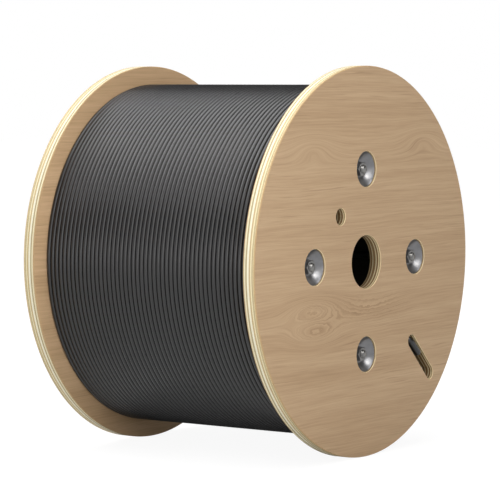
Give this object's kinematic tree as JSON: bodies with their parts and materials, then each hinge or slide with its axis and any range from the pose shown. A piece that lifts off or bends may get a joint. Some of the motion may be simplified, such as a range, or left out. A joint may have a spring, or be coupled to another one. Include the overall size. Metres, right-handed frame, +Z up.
{
  "type": "wooden cable drum",
  "caption": "Plywood cable drum full of wound round black cable: bored round flanges clamped on a barrel by tie rods with nuts in dished cups.",
  "frame": {"origin": "middle of the drum, on its axis, half way between the two flange faces", "axes": "+Y along the drum's axis from the slotted flange to the far one, +Z up, +X to the right as the slotted flange is faced"},
  "size_m": [0.4999, 0.36, 0.5],
  "materials": {
    "plywood": "bare sanded plywood with pale ply edges",
    "fibreboard": "dark pressed fibreboard",
    "cable_jacket": "satin black extruded jacket",
    "zinc_steel": "zinc-plated thread and nuts",
    "cup_steel": "bright pressed steel sheet"
  },
  "bodies": {
    "root": {"flange_near": "plywood", "flange_far": "plywood", "barrel": "fibreboard", "cable_winding": "cable_jacket", "cable_inner_end": "cable_jacket", "tie_rod_right": "zinc_steel", "tie_rod_top": "zinc_steel", "tie_rod_left": "zinc_steel", "tie_rod_bottom": "zinc_steel", "cup_near_right": "cup_steel", "cup_near_top": "cup_steel", "cup_near_left": "cup_steel", "cup_near_bottom": "cup_steel", "cup_far_right": "cup_steel", "cup_far_top": "cup_steel", "cup_far_left": "cup_steel", "cup_far_bottom": "cup_steel", "nut_near_right": "zinc_steel", "nut_near_top": "zinc_steel", "nut_near_left": "zinc_steel", "nut_near_bottom": "zinc_steel", "nut_far_right": "zinc_steel", "nut_far_top": "zinc_steel", "nut_far_left": "zinc_steel", "nut_far_bottom": "zinc_steel"}
  },
  "joints": []
}
